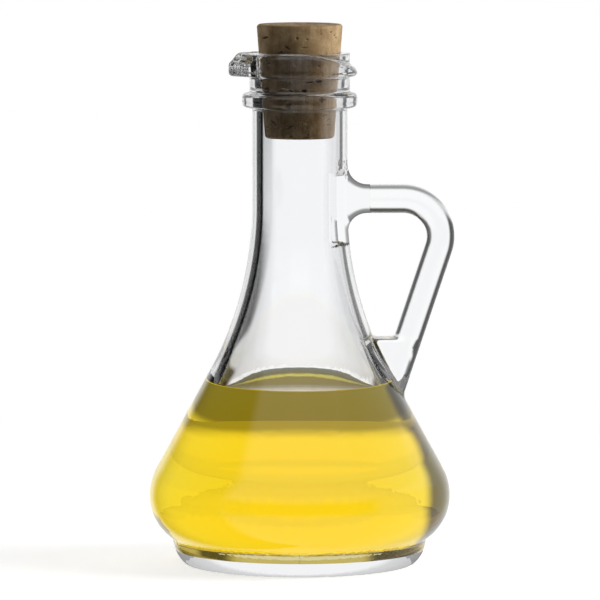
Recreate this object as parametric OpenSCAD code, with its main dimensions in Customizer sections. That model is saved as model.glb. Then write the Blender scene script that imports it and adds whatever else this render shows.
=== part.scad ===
// Glass oil cruet: a blown vessel with a pouring rim, a fused handle, a tapered cork and its oil.
// Z is up, the foot stands on z = 0, and Z is the vessel's axis.
// The spout points to -X and the handle lies to +X, in the plane y = 0.

/* [Foot and belly] */
// Radius of the heel, the outer edge of the ring that the vessel stands on
heel_r = 33.7; // [31:0.1:35]
// Radius of the foot at its top, where a crease parts it from the belly
foot_r = 37.5; // [36.5:0.1:41]
// Height of the crease between the foot and the belly
foot_h = 7.5; // [5:0.1:10]
// Radius of the belly at its widest
belly_r = 44.6; // [42.5:0.1:50]
// Height of the belly's widest place
belly_z = 20.3; // [18:0.1:26]
// Roundness of the belly above its widest place
belly_round = 17; // [12:0.5:22]
// Inner radius of the ring that the vessel stands on
recess_r = 29.5; // [24:0.1:30.5]
// Depth of the hollow under the foot, at its middle
recess_depth = 1.3; // [0.6:0.1:2.5]

/* [Shoulder and neck] */
// Slope of the conical shoulder, from the vertical, in degrees
shoulder_angle = 28.8; // [26:0.1:34]
// Radius of the long sweep from the shoulder into the neck
sweep_r = 103; // [70:1:120]
// Outer radius of the neck
neck_r = 14.1; // [13.4:0.1:15.5]
// Height of the mouth, the top of the rim
mouth_z = 151.5; // [140:0.5:175]

/* [Wall] */
// Thickness of the glass in the belly, shoulder and neck
wall = 3.2; // [2:0.1:3.6]
// Thickness of the bottom, from the table to the inside floor
floor_t = 7.2; // [5:0.1:9]

/* [Collar and rim] */
// Radius of the collar ring around the neck
collar_r = 17.05; // [16.5:0.05:20]
// Height of the collar ring
collar_h = 4.5; // [3:0.1:6]
// Radius of the groove between the collar ring and the rim
groove_r = 14.8; // [14.2:0.1:16]
// Height of the groove between the collar ring and the rim
groove_h = 4.7; // [3:0.1:7]
// Radius of the rim
rim_r = 17; // [16.2:0.1:20]
// Height of the rim
rim_h = 6.9; // [6:0.1:9]
// Rounding of the outer edges of the collar ring and the rim
edge_round = 1.2; // [0.5:0.1:1.4]
// Radius of the arc in which the rim's top falls away on the handle's side
rim_fall_r = 34; // [30:1:60]

/* [Spout] */
// Reach of the spout's tip from the vessel's axis
spout_reach = 21; // [20:0.1:26]
// Radius of the spout's tip, seen from above
spout_tip_r = 4.2; // [3.4:0.1:5]
// Half the width of the spout where it leaves the rim
spout_root_w = 11.5; // [9:0.1:12.5]
// Radius in which the top of the spout rounds over at its tip
spout_lip_r = 3; // [1.5:0.1:3.4]
// Radius of the pouring channel
channel_r = 3.1; // [2:0.1:3.3]
// Depth of the pouring channel at the tip
channel_depth = 2.6; // [1.5:0.1:3]
// Slope of the pouring channel, down towards the mouth, in degrees
channel_slope = 6; // [2:0.5:12]

/* [Cork] */
// Length of the cork
cork_l = 33.5; // [28:0.5:45]
// Radius of the cork's lower end
cork_low_r = 10.2; // [9.4:0.05:10.4]
// Radius of the cork's upper end
cork_top_r = 12.7; // [12.2:0.05:13.2]
// Length of the cork that stands above the mouth
cork_proud = 8.5; // [5:0.1:14]
// Width of the bevels at the cork's ends
cork_bevel = 0.6; // [0.2:0.1:1.2]
// Gap between the cork and the tapered seat in the mouth
cork_clearance = 0.1; // [0.05:0.01:0.2]

/* [Handle] */
// Thickness of the handle, seen from the side
strap_t = 8.3; // [6:0.1:10]
// Width of the handle, seen from the front
strap_w = 10.6; // [10.2:0.1:14]
// Height of the middle of the handle's upper arm
arm_z = 108.4; // [100:0.1:116]
// Distance from the vessel's axis to the middle of the handle's bend
bend_x = 30.6; // [26:0.1:36]
// Radius of the handle's bend, along the middle of the strap
bend_r = 11; // [9:0.1:14]
// Lean of the handle's leg from the vertical, towards the vessel, in degrees
leg_angle = 18.5; // [14:0.1:21]
// Height of the flat top of the pad that fuses the leg to the shoulder
pad_top_z = 67.2; // [63:0.1:74]
// Distance from the vessel's axis to the upright outer face of the pad
pad_x = 31.9; // [31:0.1:34]
// Height of the pad's lower end, inside the shoulder's surface
pad_low_z = 44.5; // [42:0.1:46]

/* [Oil] */
// Height of the oil's surface above the table
oil_z = 53; // [25:0.5:95]

/* [Hidden] */
$fn = 96;
arc_step = 7.5;         // degrees between the points of an arc
side_step = 15;         // the same around the handle's rounded sides
over = 1;               // how far a cutting solid runs past the face that it cuts
bend_lap = 15;          // degrees by which the two parts of the handle's bend overlap

glass_colour = [0.86, 0.92, 0.92, 0.35];
cork_colour = [0.72, 0.56, 0.38];
oil_colour = [0.96, 0.84, 0.22, 0.8];

// Middle of the arc between the shoulder's cone and the neck, and of the arc above the belly
sweep_x = neck_r + sweep_r;
belly_x = belly_r - belly_round;
// Height of the shoulder's cone, then of the neck's lower end, from the two arcs that it joins
cone_low = [belly_x + belly_round * cos(shoulder_angle), belly_z + belly_round * sin(shoulder_angle)];
cone_top_r = sweep_x - sweep_r * cos(shoulder_angle);
cone_h = (cone_low[0] - cone_top_r) / tan(shoulder_angle);
neck_z = cone_low[1] + cone_h + sweep_r * sin(shoulder_angle);

rim_z = mouth_z - rim_h;
collar_top_z = rim_z - groove_h;
collar_z = collar_top_z - collar_h;

bore_r = neck_r - wall;
floor_round = belly_z - floor_t;
cork_z = mouth_z + cork_proud - cork_l;
cork_taper = (cork_top_r - cork_low_r) / cork_l;

bend_z = arm_z - bend_r;
leg_top = [bend_x + bend_r * cos(leg_angle), bend_z - bend_r * sin(leg_angle)];
leg_l = (leg_top[1] - pad_low_z) / cos(leg_angle);

// Points of an arc around [x, z], from one angle to another, measured from +X
function arc(x, z, r, from, to, step = arc_step) =
    let (steps = max(2, ceil(abs(to - from) / step)))
    [for (i = [0:steps]) let (a = from + (to - from) * i / steps) [x + r * cos(a), z + r * sin(a)]];

// Points of the arc that leaves [x1, z1] straight down and ends at [x0, z0], given from below
function flank(x0, z0, x1, z1) =
    let (dx = x1 - x0, dz = z1 - z0, r = (dx * dx + dz * dz) / (2 * dx))
    arc(x1 - r, z1, r, -asin(dz / r), 0);

// Outline of the ring with the radius r from z0 to z1, its two outer edges rounded
function ring(r, z0, z1) = concat(
    arc(r - edge_round, z0 + edge_round, edge_round, -90, 0),
    arc(r - edge_round, z1 - edge_round, edge_round, 0, 90));

// The hollow under the foot: a shallow dome, from its middle to its edge
function recess() =
    let (r = (recess_r * recess_r + recess_depth * recess_depth) / (2 * recess_depth),
         half = asin(recess_r / r), steps = 5)
    [for (i = [0:steps]) let (a = half * i / steps) [r * sin(a), recess_depth - r * (1 - cos(a))]];

// Outside of the vessel, from the middle of its underside to the middle of its mouth
function outside() = concat(
    recess(),
    flank(heel_r, 0, foot_r, foot_h),
    flank(foot_r, foot_h, belly_r, belly_z),
    arc(belly_x, belly_z, belly_round, arc_step, shoulder_angle),
    arc(sweep_x, neck_z, sweep_r, 180 + shoulder_angle, 180),
    [[neck_r, collar_z]],
    ring(collar_r, collar_z, collar_top_z),
    [[groove_r, collar_top_z], [groove_r, rim_z]],
    ring(rim_r, rim_z, mouth_z),
    [[0, mouth_z]]);

// Inside of the vessel, from the middle of its floor to above the mouth
function inside() = concat(
    [[0, floor_t]],
    arc(belly_r - wall - floor_round, belly_z, floor_round, -90, 0),
    arc(belly_x, belly_z, belly_round - wall, arc_step, shoulder_angle),
    arc(sweep_x, neck_z, sweep_r + wall, 180 + shoulder_angle, 180),
    [[bore_r, mouth_z + over], [0, mouth_z + over]]);

module vessel_blank() {
    rotate_extrude() polygon(outside());
}

module cavity() {
    rotate_extrude() polygon(inside());
}

// Frustum with the cork's taper, grown by a gap all round, from the cork's lower end to height z
module cork_cone(gap, z) {
    translate([0, 0, cork_z])
        cylinder(h = z - cork_z, r1 = cork_low_r + gap, r2 = cork_low_r + gap + cork_taper * (z - cork_z));
}

// Lip that carries the oil out from the rim, seen from above: a wedge with a round tip
module spout() {
    tip_x = spout_reach - spout_tip_r;
    tip = arc(-tip_x, 0, spout_tip_r, 115, 245);
    root_x = sqrt(rim_r * rim_r - spout_root_w * spout_root_w) - over;
    translate([0, 0, rim_z])
        linear_extrude(height = rim_h)
            polygon(concat([[-root_x, spout_root_w - over]], tip, [[-root_x, over - spout_root_w]]));
}

// Trough from inside the mouth to the spout's tip, deepest at the mouth
module pouring_channel() {
    translate([-spout_reach, 0, mouth_z - channel_depth + channel_r])
        rotate([0, 90 + channel_slope, 0])
            translate([0, 0, -2 * over])
                cylinder(h = spout_reach + 2 * over, r = channel_r);
}

// Everything above the rim's top, where it falls in an arc towards the handle
module above_rim() {
    fall = arc(0, mouth_z - rim_fall_r, rim_fall_r, 90, 90 - asin((rim_r + over) / rim_fall_r));
    across_y() polygon(concat(fall, [[rim_r + over, mouth_z + over], [0, mouth_z + over]]));
}

// Everything beyond the rounded top edge of the spout's tip
module beyond_lip() {
    lip = arc(spout_lip_r - spout_reach, mouth_z - spout_lip_r, spout_lip_r, 90, 180);
    outer = -spout_reach - over;
    across_y() polygon(concat(lip, [[outer, mouth_z - spout_lip_r], [outer, mouth_z + over],
                                    [spout_lip_r - spout_reach, mouth_z + over]]));
}

// Stands an outline, drawn in x and z, up in the plane y = 0 and gives it the rim's width
module across_y() {
    rotate([90, 0, 0])
        linear_extrude(height = 2 * (rim_r + over), center = true) children();
}

module glass_bottle() {
    color(glass_colour) difference() {
        union() {
            vessel_blank();
            spout();
        }
        cavity();
        cork_cone(cork_clearance, mouth_z + over);
        pouring_channel();
        above_rim();
        beyond_lip();
    }
}

// Cross-section of the handle: flat front and back, fully rounded sides
module strap() {
    flat = (strap_w - strap_t) / 2;
    polygon(concat(arc(0, flat, strap_t / 2, 0, 180, side_step),
                   arc(0, -flat, strap_t / 2, 180, 360, side_step)));
}

// Part of the bend, turned up from level through an angle
module bend(angle) {
    rotate([90, 0, 0]) rotate_extrude(angle = angle) translate([bend_r, 0]) strap();
}

// Upper arm, bend and leg, each a run of the strap
module strap_run() {
    translate([0, 0, arm_z])
        rotate([0, 90, 0]) linear_extrude(height = bend_x) strap();
    translate([bend_x, 0, bend_z]) {
        bend(90);
        rotate([0, leg_angle, 0]) {
            bend(leg_angle + bend_lap);
            translate([bend_r, 0, -leg_l]) linear_extrude(height = leg_l) strap();
        }
    }
}

// Pad that fuses the leg to the shoulder: flat on top, upright on its outer side
module pad() {
    leg_x = function (z) leg_top[0] - (leg_top[1] - z) * tan(leg_angle);
    rotate([90, 0, 0])
        linear_extrude(height = strap_w, center = true)
            polygon([[0, pad_low_z], [0, pad_top_z], [leg_x(pad_top_z), pad_top_z],
                     [pad_x, leg_top[1] - (leg_top[0] - pad_x) / tan(leg_angle)], [pad_x, pad_low_z]]);
}

module handle() {
    color(glass_colour) difference() {
        union() {
            strap_run();
            pad();
        }
        vessel_blank();
    }
}

module cork_stopper() {
    color(cork_colour) translate([0, 0, cork_z]) rotate_extrude() polygon([
        [0, 0],
        [cork_low_r - cork_bevel, 0],
        [cork_low_r + cork_taper * cork_bevel, cork_bevel],
        [cork_top_r - cork_taper * cork_bevel, cork_l - cork_bevel],
        [cork_top_r - cork_bevel, cork_l],
        [0, cork_l]]);
}

module oil_fill() {
    color(oil_colour) intersection() {
        cavity();
        cylinder(h = oil_z, r = belly_r + over);
    }
}

glass_bottle();
handle();
cork_stopper();
oil_fill();
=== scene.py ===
"""Looks of a glass oil cruet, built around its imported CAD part.

Lengths of the object are in millimetres until a mesh is made, which is in metres like the frame.
Z is up, the foot stands on z = 0, the spout points to -X and the handle lies to +X.
"""

import math

import bpy
import numpy as np
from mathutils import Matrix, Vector


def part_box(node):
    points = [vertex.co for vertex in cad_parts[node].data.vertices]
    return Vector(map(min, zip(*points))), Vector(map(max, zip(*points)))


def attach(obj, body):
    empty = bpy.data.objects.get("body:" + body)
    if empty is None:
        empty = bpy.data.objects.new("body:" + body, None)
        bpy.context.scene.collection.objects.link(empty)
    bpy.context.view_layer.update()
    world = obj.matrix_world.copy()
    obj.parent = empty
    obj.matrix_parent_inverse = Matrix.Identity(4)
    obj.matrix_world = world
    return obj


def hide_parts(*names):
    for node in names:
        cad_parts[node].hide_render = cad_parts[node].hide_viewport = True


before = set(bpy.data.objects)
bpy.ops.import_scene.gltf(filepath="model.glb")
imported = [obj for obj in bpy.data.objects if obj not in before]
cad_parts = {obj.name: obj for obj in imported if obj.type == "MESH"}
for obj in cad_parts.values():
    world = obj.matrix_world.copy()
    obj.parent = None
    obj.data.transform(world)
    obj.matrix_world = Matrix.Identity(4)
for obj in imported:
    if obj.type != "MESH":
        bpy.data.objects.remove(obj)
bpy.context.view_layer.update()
MM = 0.001
rng = np.random.default_rng(7)


# ---------------------------------------------------------------- sizes, from the frame where it has them

def box_mm(node):
    """Lowest and highest corner of a CAD node, in millimetres."""
    low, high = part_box(node)
    return np.array(low) / MM, np.array(high) / MM


glass_high = box_mm("glass_bottle")[1]
handle_low, handle_high = box_mm("handle")
cork_low, cork_high = box_mm("cork_stopper")
oil_low, oil_high = box_mm("oil_fill")

BELLY_R = glass_high[0]
MOUTH_Z = glass_high[2]
FLOOR_T = oil_low[2]
OIL_Z = oil_high[2]
STRAP_W = handle_high[1] - handle_low[1]
ARM_TOP_Z = handle_high[2]
HANDLE_X = handle_high[0]
CORK_Z = cork_low[2]
CORK_TOP_Z = cork_high[2]
CORK_TOP_R = 12.7
CORK_LOW_R = 10.2
CORK_BEVEL = 0.6
SEAT_GAP = 0.1

# The same sizes as in the part's source, apart from the wall's extra and the channel's radius.
HEEL_R = 33.7
FOOT_R = 37.5
FOOT_H = 7.5
BELLY_Z = 20.3
BELLY_ROUND = 17.0
RECESS_R = 29.5
RECESS_DEPTH = 1.3
SHOULDER_ANGLE = 28.8
SWEEP_R = 103.0
NECK_R = 14.1
WALL = 3.2
# The inner wall stands in by up to this much here, which gives the shoulder its dark edges. The part's
# own wall is even.
SHOULDER_EXTRA = 0.8
SHOULDER_EXTRA_Z = 56.0
SHOULDER_EXTRA_REACH = 7.0
COLLAR_R = 17.05
COLLAR_H = 4.5
GROOVE_R = 14.8
GROOVE_H = 4.7
RIM_R = 17.0
RIM_H = 6.9
EDGE_ROUND = 1.2
RIM_FALL_R = 34.0
SPOUT_TIP_R = 4.2
SPOUT_REACH = 21.0
SPOUT_LIP_R = 3.0
CHANNEL_R = 3.6
CHANNEL_DEPTH = 2.6
CHANNEL_SLOPE = 6.0
STRAP_T = 8.3
BEND_R = 11.0
LEG_ANGLE = 18.5
STRAP_FLAT = 0.05
ARM_FILLET = 6.0
PAD_TOP_Z = 67.2
PAD_X = 31.9
PAD_LOW_Z = 44.5
PAD_ROUND = 1.0

RIM_Z = MOUTH_Z - RIM_H
COLLAR_TOP_Z = RIM_Z - GROOVE_H
COLLAR_Z = COLLAR_TOP_Z - COLLAR_H
ARM_Z = ARM_TOP_Z - STRAP_T / 2
BEND_X = HANDLE_X - BEND_R - STRAP_T / 2
BEND_Z = ARM_Z - BEND_R
CORK_TAPER = (CORK_TOP_R - CORK_LOW_R) / (CORK_TOP_Z - CORK_Z)

# How widely the edges between parts of the glass are rounded.
OUTER_CORNERS = 0.45
INNER_CORNERS = 0.35
RIM_FILLET = 0.8
CHANNEL_EDGE = 1.0
PAD_FILLET = 1.0
HANDLE_FILLET = 1.2
MOUTH_EDGE = 0.7


# ---------------------------------------------------------------- outlines as (radius, height)

def arc(x, z, r, start, end, step=2.0):
    """Points of an arc round (x, z), between two angles in degrees."""
    count = max(2, math.ceil(abs(end - start) / step))
    a = np.radians(np.linspace(start, end, count + 1))
    return np.stack([x + r * np.cos(a), z + r * np.sin(a)], axis=1)


def flank(x0, z0, x1, z1):
    """Arc that ends going straight up at (x1, z1) and starts at (x0, z0) below it."""
    dx, dz = x1 - x0, z1 - z0
    r = (dx * dx + dz * dz) / (2 * dx)
    return arc(x1 - r, z1, r, -math.degrees(math.asin(dz / r)), 0)


def ring(r, z0, z1):
    """Outline of a ring of radius r between two heights, its outer edges rounded."""
    return np.concatenate([
        arc(r - EDGE_ROUND, z0 + EDGE_ROUND, EDGE_ROUND, -90, 0, 10),
        arc(r - EDGE_ROUND, z1 - EDGE_ROUND, EDGE_ROUND, 0, 90, 10),
    ])


def resampled(points, step):
    """The same line with points an even step apart."""
    length = np.concatenate([[0], np.cumsum(np.hypot(*np.diff(points, axis=0).T))])
    at = np.linspace(0, length[-1], max(2, round(length[-1] / step)) + 1)
    return np.stack([np.interp(at, length, points[:, k]) for k in (0, 1)], axis=1)


def softened(points, reach, step=0.1):
    """The line with its corners rounded over about that reach. Its ends stay."""
    line = resampled(points, step)
    half = int(3 * reach / step)
    kernel = np.exp(-0.5 * (np.arange(-half, half + 1) * step / reach) ** 2)
    kernel /= kernel.sum()
    mirrored = np.concatenate([
        2 * line[0] - line[half:0:-1], line, 2 * line[-1] - line[-2:-half - 2:-1],
    ])
    return np.stack([np.convolve(mirrored[:, k], kernel, "valid") for k in (0, 1)], axis=1)


ABOVE_MOUTH = 4.0
SWEEP_X = NECK_R + SWEEP_R
BELLY_X = BELLY_R - BELLY_ROUND
SLOPE = math.radians(SHOULDER_ANGLE)
CONE_LOW_R = BELLY_X + BELLY_ROUND * math.cos(SLOPE)
CONE_LOW_Z = BELLY_Z + BELLY_ROUND * math.sin(SLOPE)
CONE_TOP_R = SWEEP_X - SWEEP_R * math.cos(SLOPE)
NECK_Z = CONE_LOW_Z + (CONE_LOW_R - CONE_TOP_R) / math.tan(SLOPE) + SWEEP_R * math.sin(SLOPE)


def outside_line():
    """Outside of the vessel without its rim, from the middle of the underside to the mouth's level."""
    dome_r = (RECESS_R ** 2 + RECESS_DEPTH ** 2) / (2 * RECESS_DEPTH)
    dome = arc(0, RECESS_DEPTH - dome_r, dome_r, 90, 90 - math.degrees(math.asin(RECESS_R / dome_r)), 0.5)
    return softened(np.concatenate([
        dome,
        flank(HEEL_R, 0, FOOT_R, FOOT_H),
        flank(FOOT_R, FOOT_H, BELLY_R, BELLY_Z),
        arc(BELLY_X, BELLY_Z, BELLY_ROUND, 2, SHOULDER_ANGLE),
        arc(SWEEP_X, NECK_Z, SWEEP_R, 180 + SHOULDER_ANGLE, 180, 1),
        [[NECK_R, COLLAR_Z]],
        ring(COLLAR_R, COLLAR_Z, COLLAR_TOP_Z),
        [[GROOVE_R, COLLAR_TOP_Z], [GROOVE_R, MOUTH_Z]],
    ]), OUTER_CORNERS)


def inside_line():
    """Inside of the vessel, from the middle of its floor to above the mouth."""
    floor_round = BELLY_Z - FLOOR_T
    seat_r = CORK_LOW_R + SEAT_GAP + CORK_TAPER * (MOUTH_Z - CORK_Z)
    seat_foot_z = CORK_Z + (NECK_R - WALL - CORK_LOW_R - SEAT_GAP) / CORK_TAPER
    line = softened(np.concatenate([
        [[0, FLOOR_T]],
        arc(BELLY_R - WALL - floor_round, BELLY_Z, floor_round, -90, 0),
        arc(BELLY_X, BELLY_Z, BELLY_ROUND - WALL, 2, SHOULDER_ANGLE),
        arc(SWEEP_X, NECK_Z, SWEEP_R + WALL, 180 + SHOULDER_ANGLE, 180, 1),
        [[NECK_R - WALL, seat_foot_z], [seat_r, MOUTH_Z]],
        [[seat_r + ABOVE_MOUTH * CORK_TAPER, MOUTH_Z + ABOVE_MOUTH]],
    ]), INNER_CORNERS)
    from_middle = (line[:, 1] - SHOULDER_EXTRA_Z) / SHOULDER_EXTRA_REACH
    line[:, 0] -= SHOULDER_EXTRA * np.exp(-from_middle ** 2)
    return line


# ---------------------------------------------------------------- the glass as one distance field

TABLE_STEP = 0.25
TABLE_LOW = np.array([-2.0, -3.0])
TABLE_SIZE = (220, 640)
LINE_STEP = 0.5
TINY = 1e-12
FAR = 1e9


def distance_table(line, closing):
    """Signed distance from a closed outline, negative inside, on a grid of radius and height."""
    shape = np.concatenate([resampled(line, LINE_STEP), closing])
    r = TABLE_LOW[0] + TABLE_STEP * np.arange(TABLE_SIZE[0])
    z = TABLE_LOW[1] + TABLE_STEP * np.arange(TABLE_SIZE[1])
    rr, zz = (g.ravel() for g in np.meshgrid(np.abs(r), z, indexing="ij"))
    nearest = np.full(rr.shape, FAR)
    crossings = np.zeros(rr.shape, int)
    ends = np.roll(shape, -1, axis=0)
    for (ax, az), (bx, bz) in zip(shape, ends):
        dx, dz = bx - ax, bz - az
        hit = (az > zz) != (bz > zz)
        if hit.any():
            crossings[hit] += rr[hit] < ax + dx * (zz[hit] - az) / (dz if dz else TINY)
        on_axis = max(ax, bx) < 1e-6
        if on_axis:
            continue
        t = np.clip(((rr - ax) * dx + (zz - az) * dz) / max(dx * dx + dz * dz, TINY), 0, 1)
        squared = (rr - ax - t * dx) ** 2 + (zz - az - t * dz) ** 2
        np.minimum(nearest, squared, out=nearest)
    sign = np.where(crossings % 2 == 1, -1.0, 1.0)
    return (sign * np.sqrt(nearest)).reshape(TABLE_SIZE)


def looked_up(table, r, z):
    """Cubic look-up in a table of radius and height."""
    u = np.clip((r - TABLE_LOW[0]) / TABLE_STEP, 1, TABLE_SIZE[0] - 3.001)
    v = np.clip((z - TABLE_LOW[1]) / TABLE_STEP, 1, TABLE_SIZE[1] - 3.001)
    i, j = u.astype(int), v.astype(int)
    fu, fv = u - i, v - j

    def weights(f):
        return (0.5 * (-f + 2 * f * f - f ** 3), 0.5 * (2 - 5 * f * f + 3 * f ** 3),
                0.5 * (f + 4 * f * f - 3 * f ** 3), 0.5 * (f ** 3 - f * f))

    wu, wv = weights(fu), weights(fv)
    out = np.zeros_like(u)
    for a in range(4):
        row = np.zeros_like(u)
        for b in range(4):
            row += wv[b] * table[i + a - 1, j + b - 1]
        out += wu[a] * row
    return out


def joined(a, b, k):
    """Smooth union: a fillet of about that size where two fields meet."""
    h = np.clip(0.5 + 0.5 * (b - a) / k, 0, 1)
    return b + (a - b) * h - k * h * (1 - h)


def cut(a, b, k):
    """Smooth difference: field a without field b, the edge between them rounded."""
    return -joined(-a, b, k)


def rounded_corner(u, v, r):
    """Distance from a corner rounded by r. u and v are the distances from its two sides, plus r."""
    within = np.minimum(np.maximum(u, v), 0)
    return within + np.hypot(np.maximum(u, 0), np.maximum(v, 0)) - r


def rounded_box(u, v, half_u, half_v, r):
    """Distance from a rectangle with rounded corners."""
    return rounded_corner(np.abs(u) - half_u + r, np.abs(v) - half_v + r, r)


def rim_plan(x, y):
    """Distance from the rim's outline seen from above: a round rim drawn out into a spout."""
    tip_x = SPOUT_REACH - SPOUT_TIP_R
    b = (RIM_R - SPOUT_TIP_R) / tip_x
    a = math.sqrt(1 - b * b)
    px, py = np.abs(y), -x
    k = -b * px + a * py
    near = np.hypot(px, py) - RIM_R
    far = np.hypot(px, py - tip_x) - SPOUT_TIP_R
    side = px * a + py * b - RIM_R
    return np.where(k < 0, near, np.where(k > a * tip_x, far, side))


def rim_top(x):
    """Height of the rim's top: level on the spout's side, falling in an arc towards the handle."""
    fall = RIM_FALL_R - np.sqrt(RIM_FALL_R ** 2 - np.clip(x, 0, 25) ** 2)
    over_lip = np.clip(-x - (SPOUT_REACH - SPOUT_LIP_R), 0, SPOUT_LIP_R * 0.98)
    lip = SPOUT_LIP_R - np.sqrt(SPOUT_LIP_R ** 2 - over_lip ** 2)
    return MOUTH_Z - fall - lip


def rim_field(x, y, z):
    """The rim and its spout, with rounded edges."""
    plan = rim_plan(x, y) + EDGE_ROUND
    top = z - rim_top(x) + EDGE_ROUND
    low = RIM_Z - z + EDGE_ROUND
    return rounded_corner(plan, np.maximum(top, low), EDGE_ROUND)


def channel_field(x, y, z):
    """The trough that leads the oil from the mouth out over the spout."""
    slope = math.radians(CHANNEL_SLOPE)
    axis_z = MOUTH_Z - CHANNEL_DEPTH + CHANNEL_R - (x + SPOUT_REACH) * math.tan(slope)
    body = np.hypot(y, (z - axis_z) * math.cos(slope)) - CHANNEL_R
    above = np.maximum(np.abs(y) - CHANNEL_R, axis_z - z)
    return np.maximum(np.minimum(body, above), x)


def neck_flare(x, y):
    """How far the arm's top and bottom flare out as the arm comes up to the neck."""
    gap = np.clip(x - np.sqrt(np.maximum(NECK_R ** 2 - y ** 2, 1)), 0, ARM_FILLET)
    return ARM_FILLET - np.sqrt(ARM_FILLET ** 2 - (ARM_FILLET - gap) ** 2)


def handle_field(x, y, z):
    """The strap of the handle: arm, bend and leg."""
    u, w = x - BEND_X, z - BEND_Z
    leg = math.radians(LEG_ANGLE)
    # along the leg, measured from the bend's lower end
    ex, ez = BEND_R * math.cos(leg), -BEND_R * math.sin(leg)
    down = -(u - ex) * math.sin(leg) - (w - ez) * math.cos(leg)
    off_leg = (u - ex) * math.cos(leg) - (w - ez) * math.sin(leg)
    in_leg = (down > 0) & ~((u < 0) & (w > 0))
    off = np.where(in_leg, off_leg, np.where(u < 0, w - BEND_R, np.hypot(u, w) - BEND_R))
    flared = np.sign(off) * np.maximum(np.abs(off) - np.where(u < 0, neck_flare(x, y), 0), 0)
    return rounded_box(flared, y, STRAP_T / 2, STRAP_W / 2, STRAP_T / 2 - STRAP_FLAT)


def leg_x(z):
    """Where the middle of the leg is at a height."""
    leg = math.radians(LEG_ANGLE)
    return BEND_X + BEND_R * math.cos(leg) - (BEND_Z - BEND_R * math.sin(leg) - z) * math.tan(leg)


def pad_field(x, y, z):
    """The pad of glass that fuses the leg to the shoulder."""
    r = PAD_ROUND
    leg = math.radians(LEG_ANGLE)
    over = z - PAD_TOP_Z + r
    under = PAD_LOW_Z - z + r
    outer = np.maximum(x - PAD_X + r, (x - leg_x(z)) * math.cos(leg) - STRAP_T / 4 + r)
    across = np.abs(y) - STRAP_W / 2 + r
    d = np.stack([over, under, outer, across])
    return np.minimum(d.max(0), 0) + np.sqrt((np.maximum(d, 0) ** 2).sum(0)) - r


outside = distance_table(outside_line(), [[0, MOUTH_Z]])
inside = distance_table(inside_line(), [[0, MOUTH_Z + ABOVE_MOUTH]])

# The rim and the handle are worked out only this near to them, and the handle only past this x.
NEAR = 8.0
HANDLE_FROM_X = 5.0


def glass_field(p):
    """Signed distance from the glass, negative inside it."""
    x, y, z = p[..., 0], p[..., 1], p[..., 2]
    r = np.hypot(x, y)
    body = looked_up(outside, r, z)
    top = z > RIM_Z - NEAR
    if top.any():
        body[top] = joined(body[top], rim_field(x[top], y[top], z[top]), RIM_FILLET)
        body[top] = cut(body[top], channel_field(x[top], y[top], z[top]), CHANNEL_EDGE)
    at_height = (z > PAD_LOW_Z - NEAR) & (z < ARM_TOP_Z + 1.5 * NEAR)
    side = (x > HANDLE_FROM_X) & at_height & (np.abs(y) < 2 * NEAR)
    if side.any():
        q = x[side], y[side], z[side]
        strap = joined(handle_field(*q), pad_field(*q), PAD_FILLET)
        body[side] = joined(body[side], strap, HANDLE_FILLET)
    return cut(body, looked_up(inside, r, z), MOUTH_EDGE)


# ---------------------------------------------------------------- from the field to a mesh

def graded(low, high, fine_low, fine_high, fine, coarse):
    """Grid coordinates from low to high: fine between two places, coarse outside them."""
    middle = np.linspace(fine_low, fine_high, round((fine_high - fine_low) / fine) + 1)
    before = np.linspace(low, fine_low, round((fine_low - low) / coarse) + 1)[:-1]
    after = np.linspace(fine_high, high, round((high - fine_high) / coarse) + 1)[1:]
    return np.concatenate([before, middle, after])


def surface_net(values, xs, ys, zs):
    """Quads round the zero level of values on a grid, and their vertices."""
    neg = values < 0
    shape = tuple(n - 1 for n in values.shape)
    corners = [(a, b, c) for a in (0, 1) for b in (0, 1) for c in (0, 1)]
    count = np.zeros(shape, np.int8)
    for a, b, c in corners:
        count += neg[a:a + shape[0], b:b + shape[1], c:c + shape[2]]
    cell = np.argwhere((count > 0) & (count < 8))
    index = np.full(shape, -1, np.int64)
    index[tuple(cell.T)] = np.arange(len(cell))
    total, weight = np.zeros((len(cell), 3)), np.zeros(len(cell))
    grid = (xs, ys, zs)
    for start in corners:
        for axis in range(3):
            if start[axis]:
                continue
            end = tuple(v + (k == axis) for k, v in enumerate(start))
            ia, ib = cell + start, cell + end
            va, vb = values[tuple(ia.T)], values[tuple(ib.T)]
            on = (va < 0) != (vb < 0)
            t = va[on] / (va[on] - vb[on])
            for k in range(3):
                ca, cb = grid[k][ia[on, k]], grid[k][ib[on, k]]
                total[on, k] += ca + t * (cb - ca)
            weight[on] += 1
    verts = total / weight[:, None]
    quads = []
    for axis in range(3):
        u, v = (axis + 1) % 3, (axis + 2) % 3
        first = [slice(None)] * 3
        first[axis] = slice(0, -1)
        second = [slice(None)] * 3
        second[axis] = slice(1, None)
        change = neg[tuple(first)] != neg[tuple(second)]
        at = np.argwhere(change)
        not_first = (at[:, u] > 0) & (at[:, v] > 0)
        not_last = (at[:, u] < values.shape[u] - 1) & (at[:, v] < values.shape[v] - 1)
        at = at[not_first & not_last]
        ring_cells = []
        for du, dv in ((1, 1), (0, 1), (0, 0), (1, 0)):
            q = at.copy()
            q[:, u] -= du
            q[:, v] -= dv
            ring_cells.append(index[tuple(q.T)])
        quad = np.stack(ring_cells, axis=1)
        flip = ~neg[tuple(at.T)]
        quad[flip] = quad[flip][:, ::-1]
        quads.append(quad)
    return verts, np.concatenate(quads)


def gradient(field, p, h=0.04):
    """Gradient of a field by central differences."""
    g = np.empty_like(p)
    for k in range(3):
        step = np.zeros(3)
        step[k] = h
        g[:, k] = (field(p + step) - field(p - step)) / (2 * h)
    return g


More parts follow.
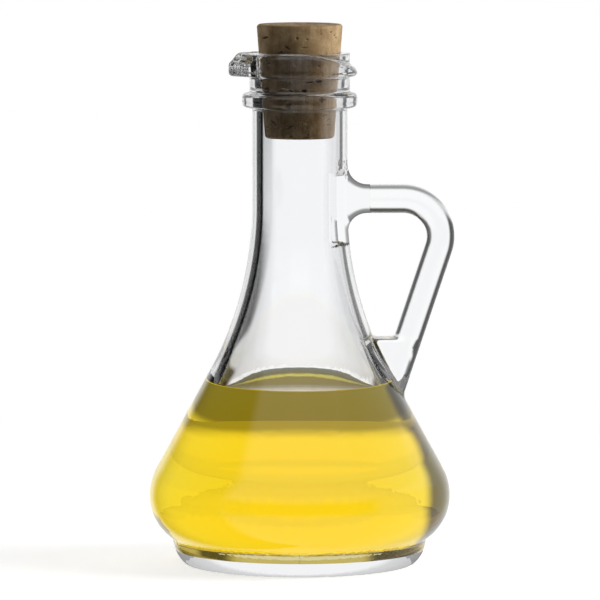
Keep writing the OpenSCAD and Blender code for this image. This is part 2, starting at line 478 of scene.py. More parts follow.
def settled(field, verts, quads, rounds):
    """Vertices spread evenly over the zero level: each round relaxes them and puts them back on it."""
    edges = np.concatenate([quads[:, [k, (k + 1) % 4]] for k in range(4)])
    both = np.concatenate([edges, edges[:, ::-1]])
    degree = np.bincount(both[:, 0], minlength=len(verts))[:, None]
    for step in range(rounds):
        if step < rounds - 2:
            sums = [np.bincount(both[:, 0], verts[both[:, 1], k], len(verts)) for k in range(3)]
            mean = np.stack(sums, 1) / degree
            verts = 0.5 * verts + 0.5 * mean
        g = gradient(field, verts)
        size = np.maximum((g * g).sum(1), 0.25)
        verts = verts - (field(verts) / size)[:, None] * g
    g = gradient(field, verts)
    return verts, g / np.linalg.norm(g, axis=1)[:, None]


def mesh_object(name, verts, faces, normals=None):
    """A smooth mesh object from vertices in millimetres."""
    mesh = bpy.data.meshes.new(name)
    mesh.vertices.add(len(verts))
    mesh.vertices.foreach_set("co", (np.asarray(verts) * MM).astype(np.float32).ravel())
    width = faces.shape[1]
    mesh.loops.add(faces.size)
    mesh.loops.foreach_set("vertex_index", faces.astype(np.int32).ravel())
    mesh.polygons.add(len(faces))
    mesh.polygons.foreach_set("loop_start", np.arange(0, faces.size, width, dtype=np.int32))
    mesh.update(calc_edges=True)
    mesh.validate()
    mesh.shade_smooth()
    if normals is not None:
        mesh.normals_split_custom_set_from_vertices([tuple(n) for n in normals.tolist()])
    obj = bpy.data.objects.new(name, mesh)
    bpy.context.scene.collection.objects.link(obj)
    return obj


FINE_CELL = 0.45
PLAIN_CELL = 1.15
GRID_MARGIN = 2.0
SETTLE_ROUNDS = 9


def build_glass():
    """Vessel and handle, fused, with a finer mesh round the collar, the rim and the spout."""
    coarser = 1.0
    fine, plain, margin = FINE_CELL * coarser, PLAIN_CELL * coarser, GRID_MARGIN
    rim_r = SPOUT_REACH + 1
    xs = graded(-BELLY_R - margin, HANDLE_X + margin, -rim_r, rim_r - 3, fine, plain)
    ys = graded(-BELLY_R - margin, BELLY_R + margin, -rim_r + 3, rim_r - 3, fine, plain)
    zs = graded(-margin, MOUTH_Z + margin, COLLAR_Z - 2, MOUTH_Z + margin, fine, plain)
    values = np.empty((len(xs), len(ys), len(zs)), np.float32)
    gy, gz = np.meshgrid(ys, zs, indexing="ij")
    for i, x in enumerate(xs):
        values[i] = glass_field(np.stack([np.full_like(gy, x), gy, gz], axis=-1))
    verts, quads = surface_net(values, xs, ys, zs)
    verts, normals = settled(glass_field, verts, quads, SETTLE_ROUNDS)
    return mesh_object("glass_vessel", verts, quads, normals)


glass = build_glass()


# ---------------------------------------------------------------- oil and cork

def lathe(name, line, segments):
    """A closed turned solid from a line that starts and ends on the axis."""
    line = np.asarray(line)
    inner = line[1:-1]
    a = np.linspace(0, 2 * math.pi, segments, endpoint=False)
    rings = np.stack([inner[:, None, 0] * np.cos(a), inner[:, None, 0] * np.sin(a),
                      np.repeat(inner[:, 1:2], segments, 1)], axis=-1).reshape(-1, 3)
    verts = np.concatenate([rings, [[0, 0, line[0, 1]], [0, 0, line[-1, 1]]]])
    first, last = len(rings), len(rings) + 1
    i, j = np.meshgrid(np.arange(len(inner) - 1), np.arange(segments), indexing="ij")
    k = (j + 1) % segments
    this_ring, next_ring = i * segments, (i + 1) * segments
    quads = np.stack([this_ring + j, this_ring + k, next_ring + k, next_ring + j], -1)
    faces = [tuple(q) for q in quads.reshape(-1, 4).tolist()]
    faces += [(first, (n + 1) % segments, n) for n in range(segments)]
    base = (len(inner) - 1) * segments
    faces += [(last, base + n, base + (n + 1) % segments) for n in range(segments)]
    mesh = bpy.data.meshes.new(name)
    mesh.from_pydata((verts * MM).tolist(), [], faces)
    mesh.shade_smooth()
    obj = bpy.data.objects.new(name, mesh)
    bpy.context.scene.collection.objects.link(obj)
    return obj


OIL_OVERLAP = 0.15
OIL_STEP = 0.8
OIL_SEGMENTS = 192
MENISCUS_RISE = 0.3
MENISCUS_REACH = 0.9
MENISCUS_ZONE = 6.0


def build_oil():
    """The oil, a little way into the glass, with its surface drawn up at the wall."""
    line = resampled(inside_line(), OIL_STEP)
    tangent = np.gradient(line, axis=0)
    out = np.stack([tangent[:, 1], -tangent[:, 0]], 1) / np.linalg.norm(tangent, axis=1)[:, None]
    wall_line = line + OIL_OVERLAP * out
    wall_line[0, 0] = 0
    edge = wall_line[wall_line[:, 1] < OIL_Z + MENISCUS_RISE]
    top_r = edge[-1, 0]
    curved = np.linspace(0, MENISCUS_ZONE, 20)[1:]
    level = np.linspace(MENISCUS_ZONE, top_r, 12)[1:]
    r = top_r - np.concatenate([curved, level])
    z = OIL_Z + MENISCUS_RISE * np.exp(-(top_r - r) / MENISCUS_REACH)
    surface = np.stack([r, z], axis=1)
    return lathe("oil", np.concatenate([edge, surface]), OIL_SEGMENTS)


oil = build_oil()


CORK_SEGMENTS = 288
CORK_STEP = 0.25
CORK_CORNERS = 0.15
# how many, half length along the skin, half height, depth: pores, lenticels and a few wide pits
PITS = ((420, 0.35, 0.28, 0.22), (70, 1.5, 0.3, 0.42), (22, 0.9, 0.7, 0.6))


def cork_line():
    """Outline of the cork, from the middle of its lower end to the middle of its top."""
    narrowing = CORK_TAPER * CORK_BEVEL
    corners = np.array([
        [0, CORK_Z],
        [CORK_LOW_R - CORK_BEVEL, CORK_Z],
        [CORK_LOW_R + narrowing, CORK_Z + CORK_BEVEL],
        [CORK_TOP_R - narrowing, CORK_TOP_Z - CORK_BEVEL],
        [CORK_TOP_R - CORK_BEVEL, CORK_TOP_Z],
        [0, CORK_TOP_Z],
    ])
    line = resampled(softened(corners, CORK_CORNERS), CORK_STEP)
    line[0] = [0, CORK_Z]
    line[-1] = [0, CORK_TOP_Z]
    return line


def cork_pits(points, out):
    """Depth of the pores and of the longer lenticels at each point. Lenticels lie across the cork."""
    depth = np.zeros(len(points))
    for count, length, height, deep in PITS:
        for k in rng.choice(len(points), count, replace=False):
            centre, normal = points[k], out[k]
            across = np.cross(normal, [0, 0, 1]) if abs(normal[2]) < 0.7 else np.array([1.0, 0.2, 0])
            across = across / np.linalg.norm(across)
            up = np.cross(across, normal)
            tilt = rng.normal(0, 0.25)
            u = math.cos(tilt) * across + math.sin(tilt) * up
            v = math.cos(tilt) * up - math.sin(tilt) * across
            size = rng.uniform(0.6, 1.5)
            offset = points - centre
            near = np.abs(offset @ normal) < 1.5
            d = (offset[near] @ u / (length * size)) ** 2 + (offset[near] @ v / (height * size)) ** 2
            depth[near] = np.maximum(depth[near], deep * size * np.clip(1 - d, 0, 1) ** 1.5)
    return depth


def build_cork():
    """The stopper, with its pores and lenticels cut into it."""
    obj = lathe("cork", cork_line(), CORK_SEGMENTS)
    mesh = obj.data
    points, out = np.empty(3 * len(mesh.vertices)), np.empty(3 * len(mesh.vertices))
    mesh.vertices.foreach_get("co", points)
    mesh.vertices.foreach_get("normal", out)
    points, out = points.reshape(-1, 3) / MM, out.reshape(-1, 3)
    depth = cork_pits(points, out)
    mesh.vertices.foreach_set("co", ((points - depth[:, None] * out) * MM).ravel())
    pits = mesh.attributes.new("pit_depth", "FLOAT", "POINT")
    pits.data.foreach_set("value", depth)
    mesh.update()
    return obj


cork = build_cork()


# ---------------------------------------------------------------- materials

def math_node(nodes, links, operation, *values):
    """A maths node fed with numbers or with other nodes' outputs. Gives its output."""
    node = nodes.new("ShaderNodeMath")
    node.operation = operation
    for k, value in enumerate(values):
        if isinstance(value, (int, float)):
            node.inputs[k].default_value = value
        else:
            links.new(value, node.inputs[k])
    return node.outputs[0]


def ramp_node(nodes, links, value, low, high, at_low=0.0, at_high=1.0):
    """A smooth step of value between two places."""
    node = nodes.new("ShaderNodeMapRange")
    node.interpolation_type = "SMOOTHSTEP"
    for name, number in (("From Min", low), ("From Max", high), ("To Min", at_low), ("To Max", at_high)):
        node.inputs[name].default_value = number
    links.new(value, node.inputs["Value"])
    return node.outputs[0]


def height_node(nodes, links):
    """Height of the shaded point, in metres."""
    place = nodes.new("ShaderNodeNewGeometry")
    split = nodes.new("ShaderNodeSeparateXYZ")
    links.new(place.outputs["Position"], split.inputs[0])
    return split.outputs["Z"]


def shader_mix(nodes, links, factor, first, second):
    """Mix of two shaders."""
    mix = nodes.new("ShaderNodeMixShader")
    links.new(factor, mix.inputs[0])
    links.new(first.outputs[0], mix.inputs[1])
    links.new(second.outputs[0], mix.inputs[2])
    return mix


def set_surface(nodes, links, shader):
    """Makes a shader the material's surface."""
    links.new(shader.outputs[0], nodes["Material Output"].inputs["Surface"])


def colour_ramp(nodes, links, value, *stops):
    """A colour ramp over value. Each stop is a place and a colour."""
    ramp = nodes.new("ShaderNodeValToRGB")
    elements = ramp.color_ramp.elements
    while len(elements) > 1:
        elements.remove(elements[-1])
    for n, (place, colour) in enumerate(stops):
        element = elements[0] if n == 0 else elements.new(place)
        element.position = place
        element.color = (*colour, 1)
    links.new(value, ramp.inputs[0])
    return ramp.outputs["Color"]


def new_material(name):
    """A material with its nodes, its links and its Principled shader."""
    material = bpy.data.materials.new(name)
    material.use_nodes = True
    nodes = material.node_tree.nodes
    return material, nodes, material.node_tree.links, nodes["Principled BSDF"]


GLASS_IOR = 1.5
STRAIGHT_IOR = 1.0
OIL_IOR = 1.47
OIL_COLOUR = (1.0, 0.916, 0.0)
OIL_DENSITY = 55.0
OIL_TOP_FROM = 0.3

# Light held inside the belly is let out where it reflects this strongly, and dimmed between these heights.
HELD_FROM = 0.15
DIM_FROM_Z = 21.0
DIM_TO_Z = 26.0
DIM_LEVEL = 0.25
WET_HELD_FROM = 0.5

CLEAR_TONE = (0.985, 0.99, 1.0)
# painted shade: the glass at the joints, which lets light straight through, is greyed a little darker than
# the clear glass
JOINT_SHADE_TONE = (0.94, 0.945, 0.955)
BELLY_TONE = (1.0, 0.985, 0.97)
# painted light: the colour of light that comes through the oil, painted on the foot's glass
OIL_LIGHT_TONE = (0.52, 0.42, 0.1)
# painted shade: the colour of the wet wall's total reflection, darker and yellower than a clear mirror
WET_MIRROR_SHADE = (0.9, 0.86, 0.7)
FOOT_CLEAR_Z = 4.4
UNDERSIDE_Z = 2.4

# Painted shade: brightness of the glass's colour by how slanted it is seen, 0 is face on, 1 is edge on. It
# darkens the glass towards its edges.
PLAIN_EDGE_SHADE = ((0.0, 1.0), (1.0, 0.97))
BELLY_EDGE_SHADE = ((0.0, 1.0), (0.5, 1.0), (0.66, 0.8), (0.85, 0.8), (1.0, 0.95))
FLARE_EDGE_SHADE = ((0.0, 0.94), (0.22, 0.94), (0.36, 0.3), (1.0, 0.12))
FOOT_EDGE_SHADE = ((0.0, 0.88), (0.36, 0.88), (0.46, 0.5), (0.7, 0.35), (1.0, 0.3))
LOW_EDGE_SHADE = ((0.0, 1.0), (0.6, 1.0), (0.7, 0.45), (1.0, 0.3))


def edges(shade_level):
    """Painted shade for a rod or a wall: its colour darkened to the given level in a band part of the way
    to its edge.
    """
    return ((0.0, 1.0), (0.2, 1.0), (0.36, shade_level), (0.55, shade_level), (0.7, 0.9), (1.0, 0.95))


def set_glass(nodes, links, shader, painted_edge_shade, ior, tone):
    """Makes a Principled shader clear glass, with painted shade: the table given darkens its colour by how
    slanted it is seen.
    """
    shader.inputs["Roughness"].default_value = 0.0
    shader.inputs["IOR"].default_value = ior
    shader.inputs["Transmission Weight"].default_value = 1.0
    # painted shade: Layer Weight darkens the glass's colour towards its edges
    slant = nodes.new("ShaderNodeLayerWeight")
    slant.inputs["Blend"].default_value = 0.5
    stops = [(place, tuple(level * part for part in tone)) for place, level in painted_edge_shade]
    links.new(colour_ramp(nodes, links, slant.outputs["Facing"], *stops), shader.inputs["Base Color"])


def glass_shader(name, painted_edge_shade, ior, tone):
    """A new material whose shader is clear glass."""
    material, nodes, links, shader = new_material(name)
    set_glass(nodes, links, shader, painted_edge_shade, ior, tone)
    return material, nodes, links, shader


def glass_material(name, painted_edge_shade, ior=GLASS_IOR, tone=CLEAR_TONE, lets_out=False):
    """Clear glass, its colour darkened where it is seen at a slant: painted shade for the dark edges glass
    shows in a white studio.

    With lets_out, light that total reflection would hold inside passes straight out, bright below the
    widest part and dim above it. Real glass keeps that light in: this stands in for many more bounces.
    """
    material, nodes, links, shader = glass_shader(name, painted_edge_shade, ior, tone)
    if lets_out:
        fresnel = nodes.new("ShaderNodeFresnel")
        fresnel.inputs["IOR"].default_value = GLASS_IOR
        side = nodes.new("ShaderNodeNewGeometry")
        held = math_node(nodes, links, "GREATER_THAN", fresnel.outputs[0], HELD_FROM)
        held = math_node(nodes, links, "MULTIPLY", held, side.outputs["Backfacing"])
        through = nodes.new("ShaderNodeBsdfTransparent")
        height = height_node(nodes, links)
        dimmed = ramp_node(nodes, links, height, DIM_FROM_Z * MM, DIM_TO_Z * MM, 1.0, DIM_LEVEL)
        links.new(dimmed, through.inputs["Color"])
        set_surface(nodes, links, shader_mix(nodes, links, held, shader, through))
    return material


def base_material():
    """The foot's side: painted light, olive in place of light that comes through the oil above, and clear
    lower down with painted edge shade.
    """
    material, nodes, links, oil_light = glass_shader("base_glass", PLAIN_EDGE_SHADE, GLASS_IOR, OIL_LIGHT_TONE)
    clear = nodes.new("ShaderNodeBsdfPrincipled")
    set_glass(nodes, links, clear, FOOT_EDGE_SHADE, STRAIGHT_IOR, CLEAR_TONE)
    low = math_node(nodes, links, "LESS_THAN", height_node(nodes, links), FOOT_CLEAR_Z * MM)
    set_surface(nodes, links, shader_mix(nodes, links, low, oil_light, clear))
    return material


def wet_glass_material():
    """Inner wall where oil wets it: it bends light, and mirrors what can't leave it, that reflection
    painted a darker, pale yellow.
    """
    material, nodes, links, shader = new_material("oil_wet_glass")
    bend = nodes.new("ShaderNodeBsdfRefraction")
    mirror = nodes.new("ShaderNodeBsdfGlass")
    mirror.inputs["Color"].default_value = (*WET_MIRROR_SHADE, 1)
    for node in (bend, mirror):
        node.inputs["Roughness"].default_value = 0.0
        node.inputs["IOR"].default_value = GLASS_IOR
    fresnel = nodes.new("ShaderNodeFresnel")
    fresnel.inputs["IOR"].default_value = GLASS_IOR
    held = math_node(nodes, links, "GREATER_THAN", fresnel.outputs[0], WET_HELD_FROM)
    set_surface(nodes, links, shader_mix(nodes, links, held, bend, mirror))
    nodes.remove(shader)
    return material


def oil_material():
    """Oil: its free surface mirrors and bends light, its sides, which lie on glass, only bend it."""
    material, nodes, links, shader = new_material("golden_oil")
    free = nodes.new("ShaderNodeBsdfGlass")
    side = nodes.new("ShaderNodeBsdfRefraction")
    for node in (free, side):
        node.inputs["Roughness"].default_value = 0.0
        node.inputs["IOR"].default_value = OIL_IOR
    place = nodes.new("ShaderNodeNewGeometry")
    split = nodes.new("ShaderNodeSeparateXYZ")
    links.new(place.outputs["True Normal"], split.inputs[0])
    faces_up = math_node(nodes, links, "GREATER_THAN", split.outputs["Z"], OIL_TOP_FROM)
    set_surface(nodes, links, shader_mix(nodes, links, faces_up, side, free))
    nodes.remove(shader)
    absorb = nodes.new("ShaderNodeVolumeAbsorption")
    absorb.inputs["Color"].default_value = (*OIL_COLOUR, 1)
    absorb.inputs["Density"].default_value = OIL_DENSITY
    links.new(absorb.outputs["Volume"], nodes["Material Output"].inputs["Volume"])
    return material


def noise(nodes, links, coords, scale, detail, stretch=(1, 1, 1)):
    """A noise pattern in the piece's own metres."""
    mapping = nodes.new("ShaderNodeMapping")
    mapping.inputs["Scale"].default_value = stretch
    links.new(coords, mapping.inputs["Vector"])
    node = nodes.new("ShaderNodeTexNoise")
    node.inputs["Scale"].default_value = scale
    node.inputs["Detail"].default_value = detail
    node.inputs["Roughness"].default_value = 0.6
    links.new(mapping.outputs[0], node.inputs["Vector"])
    return node.outputs["Fac"]


def mixed(nodes, links, factor, a, b, blend="MIX"):
    """Mix of two colours."""
    node = nodes.new("ShaderNodeMix")
    node.data_type = "RGBA"
    node.blend_type = blend
    for socket, value in (("Factor", factor), ("A", a), ("B", b)):
        if isinstance(value, tuple):
            node.inputs[socket].default_value = (*value, 1)
        elif isinstance(value, float):
            node.inputs[socket].default_value = value
        else:
            links.new(value, node.inputs[socket])
    return node.outputs["Result"]


PORE_BROWN = (0.11, 0.062, 0.03)


def cork_material():
    """Cork bark: tan, mottled, with brown growth bands, dark pores and a fine grain."""
    material, nodes, links, shader = new_material("cork_bark")
    coords = nodes.new("ShaderNodeTexCoord").outputs["Object"]
    mottle = colour_ramp(nodes, links, noise(nodes, links, coords, 260, 5),
                         (0.3, (0.36, 0.235, 0.115)),
                         (0.5, (0.47, 0.33, 0.175)),
                         (0.72, (0.56, 0.41, 0.24)))
    bands = colour_ramp(nodes, links, noise(nodes, links, coords, 120, 4, (3.2, 0.5, 0.5)),
                        (0.38, (0.75, 0.68, 0.6)), (0.55, (1, 1, 1)))
    grain = colour_ramp(nodes, links, noise(nodes, links, coords, 2600, 2),
                        (0.3, (0.74, 0.7, 0.66)), (0.5, (1, 1, 1)), (0.75, (1.0, 1.0, 1.0)))
    colour = mixed(nodes, links, 1.0, mottle, bands, "MULTIPLY")
    colour = mixed(nodes, links, 1.0, colour, grain, "MULTIPLY")
    pit = nodes.new("ShaderNodeAttribute")
    pit.attribute_name = "pit_depth"
    in_pit = ramp_node(nodes, links, pit.outputs["Fac"], 0.03, 0.3)
    colour = mixed(nodes, links, in_pit, colour, PORE_BROWN)
    links.new(colour, shader.inputs["Base Color"])
    shader.inputs["Roughness"].default_value = 0.82
    shader.inputs["Specular IOR Level"].default_value = 0.25
    bump = nodes.new("ShaderNodeBump")
    bump.inputs["Strength"].default_value = 0.35
    bump.inputs["Distance"].default_value = 0.0002
    links.new(noise(nodes, links, coords, 1900, 3), bump.inputs["Height"])
    links.new(bump.outputs[0], shader.inputs["Normal"])
    return material


# Where the handle's parts start and end, beside the sizes above.
JOINT_X = 9.4
FLARE_X = 21.0
JOINT_RISE = 2.5
UNDER_JOINT_DROP = 9.5
JOINT_SKIN = 0.8
FLARE_SKIN = 0.25
ON_OUTSIDE = -0.3
OFF_OUTSIDE = 1.0
ON_INSIDE = 0.3
WET_RISE = 0.9


def glass_parts(obj, parts):
    """Gives parts of the vessel and handle their own materials. parts: material by name of part."""
    centres = np.empty(3 * len(obj.data.polygons))
    obj.data.polygons.foreach_get("center", centres)
    x, y, z = (centres.reshape(-1, 3) / MM).T
    r = np.hypot(x, y)
    near_arm = np.abs(z - ARM_Z)
    off_body = looked_up(outside, r, z)
    side = x > JOINT_X
    on_handle = (off_body > OFF_OUTSIDE) & (x > HANDLE_FROM_X) & (z < ARM_TOP_Z + NEAR)
    outer = (off_body > ON_OUTSIDE) & ~on_handle
    at_joint = side & (r < NECK_R + JOINT_SKIN)
    arm_low_z = ARM_Z - STRAP_T / 2
    flare_half = STRAP_T / 2 + ARM_FILLET + 1
    faces = {
        "wet": (np.abs(looked_up(inside, r, z)) < ON_INSIDE) & (z < OIL_Z + WET_RISE),
        "joint": at_joint & (near_arm < STRAP_T / 2 + JOINT_RISE),
        "under_joint": at_joint & (z > arm_low_z - UNDER_JOINT_DROP) & (z < ARM_Z),
        "flare": side & (r > NECK_R + FLARE_SKIN) & (x < FLARE_X) & (near_arm < flare_half),
        "underside": outer & (z < UNDERSIDE_Z) & (r <= HEEL_R - 0.2),
        "base": outer & (z < FOOT_H - 0.2),
        "handle": on_handle,
        "belly": outer & (z > FOOT_H) & (z < OIL_Z + 4),
    }
    names = [name for name in faces if name in parts]
    index = np.select([faces[name] for name in names], range(1, len(names) + 1), 0)
    for name in names:
        obj.data.materials.append(parts[name])
    obj.data.polygons.foreach_set("material_index", index.astype(np.int32))


def dress(obj, material, body, slot, *nodes):
    """Gives a piece its material and body, and hides the CAD nodes it stands for."""
    obj.data.materials.clear()
    obj.data.materials.append(material)
    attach(obj, body)
    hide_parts(*nodes)


plain = glass_material("joint_glass", PLAIN_EDGE_SHADE, STRAIGHT_IOR, JOINT_SHADE_TONE)
dress(glass, glass_material("clear_glass", edges(0.75)), "bottle", "glass", "glass_bottle", "handle")
glass_parts(glass, {
    "wet": wet_glass_material(),
    "joint": plain,
    "under_joint": glass_material("under_joint_glass", LOW_EDGE_SHADE, STRAIGHT_IOR, JOINT_SHADE_TONE),
    "flare": glass_material("flare_glass", FLARE_EDGE_SHADE, STRAIGHT_IOR),
    "underside": plain,
    "base": base_material(),
    "handle": glass_material("handle_glass", edges(0.45)),
    "belly": glass_material("belly_glass", BELLY_EDGE_SHADE, GLASS_IOR, BELLY_TONE, lets_out=True),
})
dress(oil, oil_material(), "bottle", "oil", "oil_fill")
dress(cork, cork_material(), "cork", "cork", "cork_stopper")


# ---------------------------------------------------------------- floor, world, lights and camera

FLOOR_R = 1.1
FLOOR_GLOW = 0.72
FLOOR_ALBEDO = 0.8
FLOOR_SEGMENTS = 96
# From the first radius to the second, in metres, the lit paper turns into paper that only glows.
PAPER_FADE = (0.12, 0.4)


def build_floor():
    """White paper. Near the bottle it is lit and keeps the shadow, and further off it glows evenly."""
    a = np.linspace(0, 2 * math.pi, FLOOR_SEGMENTS, endpoint=False)
    rim = [(FLOOR_R * math.cos(t), FLOOR_R * math.sin(t), 0) for t in a]
    mesh = bpy.data.meshes.new("floor")
    mesh.from_pydata(rim, [], [tuple(range(FLOOR_SEGMENTS))])
    floor = bpy.data.objects.new("floor", mesh)
    bpy.context.scene.collection.objects.link(floor)
    material, nodes, links, paper = new_material("floor_paper")
    paper.inputs["Base Color"].default_value = (FLOOR_ALBEDO, FLOOR_ALBEDO, FLOOR_ALBEDO, 1)
    paper.inputs["Roughness"].default_value = 1.0
    paper.inputs["Specular IOR Level"].default_value = 0.0
    paper.inputs["Emission Color"].default_value = (1, 1, 1, 1)
    path = nodes.new("ShaderNodeLightPath")
    place = nodes.new("ShaderNodeNewGeometry")
    length = nodes.new("ShaderNodeVectorMath")
    length.operation = "LENGTH"
    links.new(place.outputs["Position"], length.inputs[0])
    seen = math_node(nodes, links, "SUBTRACT", 1.0, path.outputs["Is Diffuse Ray"])
    links.new(math_node(nodes, links, "MULTIPLY", seen, FLOOR_GLOW), paper.inputs["Emission Strength"])
    glow = nodes.new("ShaderNodeEmission")
    links.new(seen, glow.inputs["Strength"])
    further_off = ramp_node(nodes, links, length.outputs["Value"], *PAPER_FADE)
    sheet = shader_mix(nodes, links, further_off, paper, glow)
    # glass looks past the paper at the studio, which is white there too
    clear = nodes.new("ShaderNodeBsdfTransparent")
    from_glass = math_node(nodes, links, "MAXIMUM", path.outputs["Is Transmission Ray"],
                           path.outputs["Is Glossy Ray"])
    set_surface(nodes, links, shader_mix(nodes, links, from_glass, sheet, clear))
    mesh.materials.append(material)


# What glass sees of the studio: white, with dark cards that draw its edges. The cards aren't objects but
# bands in the world's light, and which of them a ray sees depends on what it has passed:
# "edge" one piece of glass, such as a rim, the handle or a wall lengthwise,
# "pair" both walls of the empty vessel,
# "held" the belly, when its light was let out,
# "oil" the oil,
# "mirror" a reflection off the outside.
# They were fitted to the view from the front. Real cards would be seen by every ray alike.
# Each card: azimuth of the middle (0 is behind, +90 to the right), half width, lowest and highest,
# brightness, kind.
CARDS = (
    (-45, 21, -18, 90, 0.07, "edge"),
    (33, 9, -18, 90, 0.15, "edge"),
    (-135, 21, -18, 90, 0.3, "edge"),
    (135, 21, -18, 90, 0.3, "edge"),
    (0, 190, 21, 90, 0.12, "edge"),
    (0, 190, -100, -30, 0.42, "edge"),
    (-42, 30, -3, 90, 0.06, "pair"),
    (0, 190, 4.5, 90, 0.1, "pair"),
    (180, 62, -14, 12, 0.02, "mirror"),
    (-75, 45, -100, 100, 0.05, "mirror"),
    (75, 45, -100, 100, 0.8, "mirror"),
    (0, 190, -100, -26, 0.4, "oil"),
    (-55, 9.5, -30, 30, 0.08, "oil"),
    (-33.5, 12, -60, 60, 0.15, "held"),
    (0, 190, -26, 100, 1.03, "oil"),
    (0, 190, -100, 100, 1.03, "held"),
)
CARD_EDGE = {"edge": 4.0, "pair": 2.0, "oil": 5.0, "held": 2.5, "mirror": 8.0}
# transmission depth of a ray, above the first number and below the second
DEPTHS = {"edge": (0.5, 2.5), "pair": (2.5, 4.5), "oil": (5.5, 99.0), "held": (4.5, 5.5)}
MIRROR_DEPTH = 2.5

# Light on the matt pieces, which glass doesn't show: a way, a level, and the cosines at its rim and middle.
FILL = 0.015
KEY_WAY = (1.0, -0.05, 0.05)
KEY_FILL = 6.2
KEY_WIDTH = (0.8, 1.0)
LEFT_WAY = (-0.86, 0.5, 0.05)
LEFT_FILL = 1.3
LEFT_WIDTH = (0.7, 1.0)
BACK_WAY = (0.0, 0.97, 0.2)
BACK_FILL = 0.7
BACK_WIDTH = (0.2, 1.0)


def card_cover(nodes, links, x, y, flat, elevation, card):
    """How much of a direction a card covers."""
    centre, half, low, high, _, kind = card
    soft = CARD_EDGE[kind]
    way = math.radians(centre)
    along = math_node(nodes, links, "ADD", math_node(nodes, links, "MULTIPLY", x, math.sin(way)),
                      math_node(nodes, links, "MULTIPLY", y, math.cos(way)))
    cosine = math_node(nodes, links, "DIVIDE", along, flat)
    off = math_node(nodes, links, "DEGREES", math_node(nodes, links, "ARCCOSINE", cosine))
    across = ramp_node(nodes, links, off, half - soft, half + soft, 1.0, 0.0)
    above = ramp_node(nodes, links, elevation, low - soft, low + soft)
    below = ramp_node(nodes, links, elevation, high - soft, high + soft, 1.0, 0.0)
    return math_node(nodes, links, "MULTIPLY", across, math_node(nodes, links, "MULTIPLY", above, below))


def soft_spot(nodes, links, coords, way, width, level):
    """A round soft light in the sky. width is the cosine at its rim and in its middle."""
    dot = nodes.new("ShaderNodeVectorMath")
    dot.operation = "DOT_PRODUCT"
    dot.inputs[1].default_value = way
    links.new(coords.outputs["Generated"], dot.inputs[0])
    return ramp_node(nodes, links, dot.outputs["Value"], *width, 0.0, level)


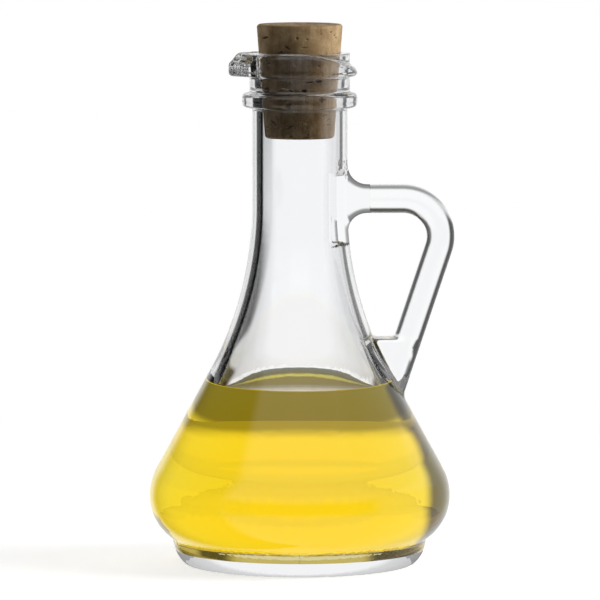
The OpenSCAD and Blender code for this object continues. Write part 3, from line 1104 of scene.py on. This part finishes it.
def build_world():
    """White light with the cards in it, and separate soft spots for the matt pieces."""
    world = bpy.data.worlds.new("studio")
    bpy.context.scene.world = world
    world.use_nodes = True
    world.cycles.sampling_method = "NONE"
    nodes, links = world.node_tree.nodes, world.node_tree.links
    nodes.clear()
    coords = nodes.new("ShaderNodeTexCoord")
    split = nodes.new("ShaderNodeSeparateXYZ")
    links.new(coords.outputs["Generated"], split.inputs[0])
    x, y, z = split.outputs
    flat = math_node(nodes, links, "SQRT", math_node(nodes, links, "SUBTRACT", 1.0,
                     math_node(nodes, links, "MULTIPLY", z, z)))
    elevation = math_node(nodes, links, "DEGREES", math_node(nodes, links, "ARCTAN2", z, flat))
    path = nodes.new("ShaderNodeLightPath")
    depth = path.outputs["Transmission Depth"]
    kinds = {}
    for kind, (low, high) in DEPTHS.items():
        over = math_node(nodes, links, "GREATER_THAN", depth, low)
        under = math_node(nodes, links, "LESS_THAN", depth, high)
        kinds[kind] = math_node(nodes, links, "MULTIPLY", over, under)
    mirrored = math_node(nodes, links, "GREATER_THAN", path.outputs["Glossy Depth"], 0.5)
    shallow = math_node(nodes, links, "LESS_THAN", depth, MIRROR_DEPTH)
    kinds["mirror"] = math_node(nodes, links, "MULTIPLY", mirrored, shallow)
    light = None
    for card in CARDS:
        cover = card_cover(nodes, links, x, y, flat, elevation, card)
        level, kind = card[4:]
        cover = math_node(nodes, links, "MULTIPLY", cover, kinds[kind])
        taken = math_node(nodes, links, "MULTIPLY", cover, 1.0 - level)
        kept = math_node(nodes, links, "SUBTRACT", 1.0, taken)
        light = kept if light is None else math_node(nodes, links, "MULTIPLY", light, kept)
    background = nodes.new("ShaderNodeBackground")
    background.inputs["Color"].default_value = (1, 1, 1, 1)
    # what lights the matt pieces: soft light from both sides, most of it from the right
    diffuse = math_node(nodes, links, "GREATER_THAN", path.outputs["Diffuse Depth"], 0.5)
    key = soft_spot(nodes, links, coords, KEY_WAY, KEY_WIDTH, KEY_FILL)
    left = soft_spot(nodes, links, coords, LEFT_WAY, LEFT_WIDTH, LEFT_FILL)
    back = soft_spot(nodes, links, coords, BACK_WAY, BACK_WIDTH, BACK_FILL)
    sides = math_node(nodes, links, "ADD", key, left)
    fill = math_node(nodes, links, "ADD", math_node(nodes, links, "ADD", sides, back), FILL)
    clear = math_node(nodes, links, "SUBTRACT", 1.0, diffuse)
    total = math_node(nodes, links, "ADD", math_node(nodes, links, "MULTIPLY", diffuse, fill),
                      math_node(nodes, links, "MULTIPLY", clear, light))
    links.new(total, background.inputs["Strength"])
    out = nodes.new("ShaderNodeOutputWorld")
    links.new(background.outputs[0], out.inputs[0])


# Lamp and camera, in metres and watts.
LAMP_POWER = 12
LAMP_SIZE = 1.0
LAMP_PLACE = (1.6, -0.4, 1.0)
LAMP_AIM = Vector((0, 0, 0.08))
EYE = Vector((0, -1.84, 0.245))
EYE_AIM = Vector((0.0001, 0, 0.0783))
VIEW_WIDTH = 0.1776


def build_light():
    """A large soft key light from the right."""
    light = bpy.data.lights.new("softbox", "AREA")
    light.energy = LAMP_POWER
    light.shape = "RECTANGLE"
    light.size = LAMP_SIZE
    light.size_y = LAMP_SIZE
    lamp = bpy.data.objects.new("softbox", light)
    lamp.location = LAMP_PLACE
    lamp.rotation_euler = (LAMP_AIM - lamp.location).to_track_quat("-Z", "Y").to_euler()
    lamp.visible_glossy = False
    lamp.visible_transmission = False
    bpy.context.scene.collection.objects.link(lamp)


def build_camera():
    """A long lens a little above the bottle, which fills a frame of VIEW_WIDTH at the point it aims at."""
    camera = bpy.data.cameras.new("camera")
    camera.sensor_width = 36
    camera.lens = camera.sensor_width * (EYE_AIM - EYE).length / VIEW_WIDTH
    obj = bpy.data.objects.new("camera", camera)
    obj.location = EYE
    obj.rotation_euler = (EYE_AIM - EYE).to_track_quat("-Z", "Y").to_euler()
    bpy.context.scene.collection.objects.link(obj)
    bpy.context.scene.camera = obj


build_floor()
build_world()
build_light()
build_camera()
scene = bpy.context.scene
scene.view_settings.view_transform = "Standard"
scene.cycles.max_bounces = 24
scene.cycles.transmission_bounces = 24
scene.cycles.glossy_bounces = 14
